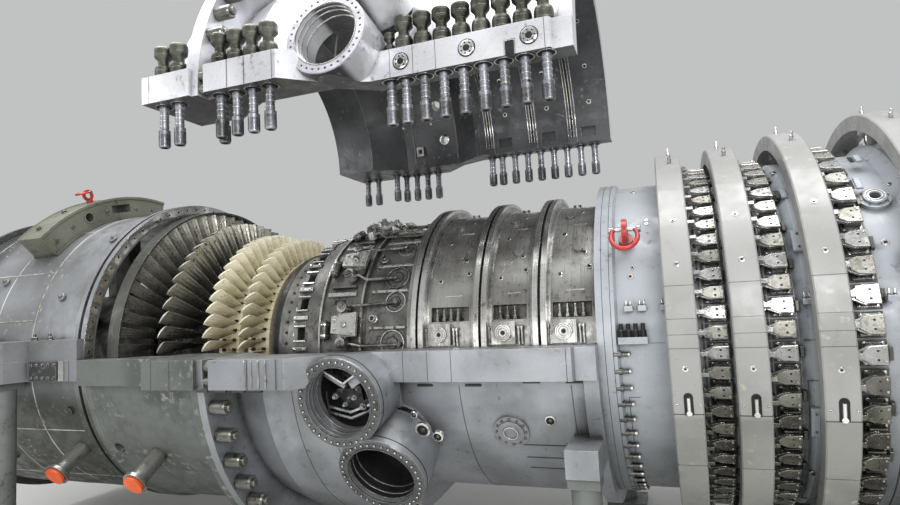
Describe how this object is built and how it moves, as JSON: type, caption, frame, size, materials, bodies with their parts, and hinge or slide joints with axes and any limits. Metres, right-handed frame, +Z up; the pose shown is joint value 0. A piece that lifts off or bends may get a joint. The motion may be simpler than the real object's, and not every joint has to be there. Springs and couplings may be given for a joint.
{
  "type": "heavy-duty gas turbine, opened for assembly",
  "caption": "Industrial gas turbine with its upper middle casing lifted off above it, showing turbine blades, vane carriers and guide-vane rings.",
  "frame": {"origin": "on the ground, under the middle of the machine", "axes": "+X along the shaft towards the air inlet, +Z up, +Y away from the picture's viewer"},
  "size_m": [13.1, 4.94, 7.63],
  "materials": {
    "dark_steel": "dull dark grey cast steel",
    "olive_steel": "olive grey paint",
    "grey_cast": "bare grey casting",
    "machined_steel": "bright machined",
    "blue_grey_paint": "satin light blue grey paint",
    "ring_paint": "satin warm light grey",
    "stud_steel": "oiled steel",
    "black_steel": "black oxide",
    "stained_steel": "mottled brown grey",
    "cream_coating": "cream ceramic coating",
    "dark_blade": "dark blade metal",
    "red_paint": "red paint",
    "orange_cap": "orange plastic"
  },
  "bodies": {
    "stator": {"exhaust_casing_lower": "dark_steel", "exhaust_casing_upper": "dark_steel", "exhaust_hub": "dark_steel", "exhaust_struts": "dark_steel", "lifting_saddle": "olive_steel", "lifting_eyes": "red_paint", "turbine_casing_lower": "dark_steel", "turbine_casing_upper": "machined_steel", "middle_casing_lower": "grey_cast", "middle_casing_upper": "machined_steel", "flange_studs": "stud_steel", "joint_nuts_lower": "stud_steel", "joint_nuts_upper": "stud_steel", "seal_ring": "black_steel", "burner_hub": "grey_cast", "burner_brackets": "machined_steel", "vane_carrier_a": "stained_steel", "vane_carrier_b": "stained_steel", "vane_carrier_c": "stained_steel", "vane_carriers_lower": "stained_steel", "compressor_casing_lower": "blue_grey_paint", "compressor_casing_upper": "blue_grey_paint", "split_line_studs": "stud_steel", "guide_vane_ring_1": "ring_paint", "guide_vane_ring_2": "ring_paint", "guide_vane_ring_3": "ring_paint", "guide_vane_ring_4": "ring_paint", "lever_row_1": "machined_steel", "lever_row_2": "machined_steel", "lever_row_3": "machined_steel", "lever_row_4": "machined_steel", "inlet_casing": "blue_grey_paint", "inlet_hub": "blue_grey_paint", "inlet_struts": "blue_grey_paint", "supports": "dark_steel", "pipe_stubs": "grey_cast", "pipe_caps": "orange_cap"},
    "rotor": {"rotor_shaft": "grey_cast", "turbine_row_1": "cream_coating", "turbine_row_2": "cream_coating", "turbine_row_3": "dark_blade", "turbine_row_4": "dark_blade", "row_4_shroud": "machined_steel", "compressor_row_1": "grey_cast", "coupling_flange": "machined_steel"}
  },
  "joints": [
    {"name": "rotor_spin", "type": "hinge", "parent": "stator", "child": "rotor", "pos_m": [0, 0, 2.5], "axis": [1, 0, 0], "continuous": true}
  ]
}
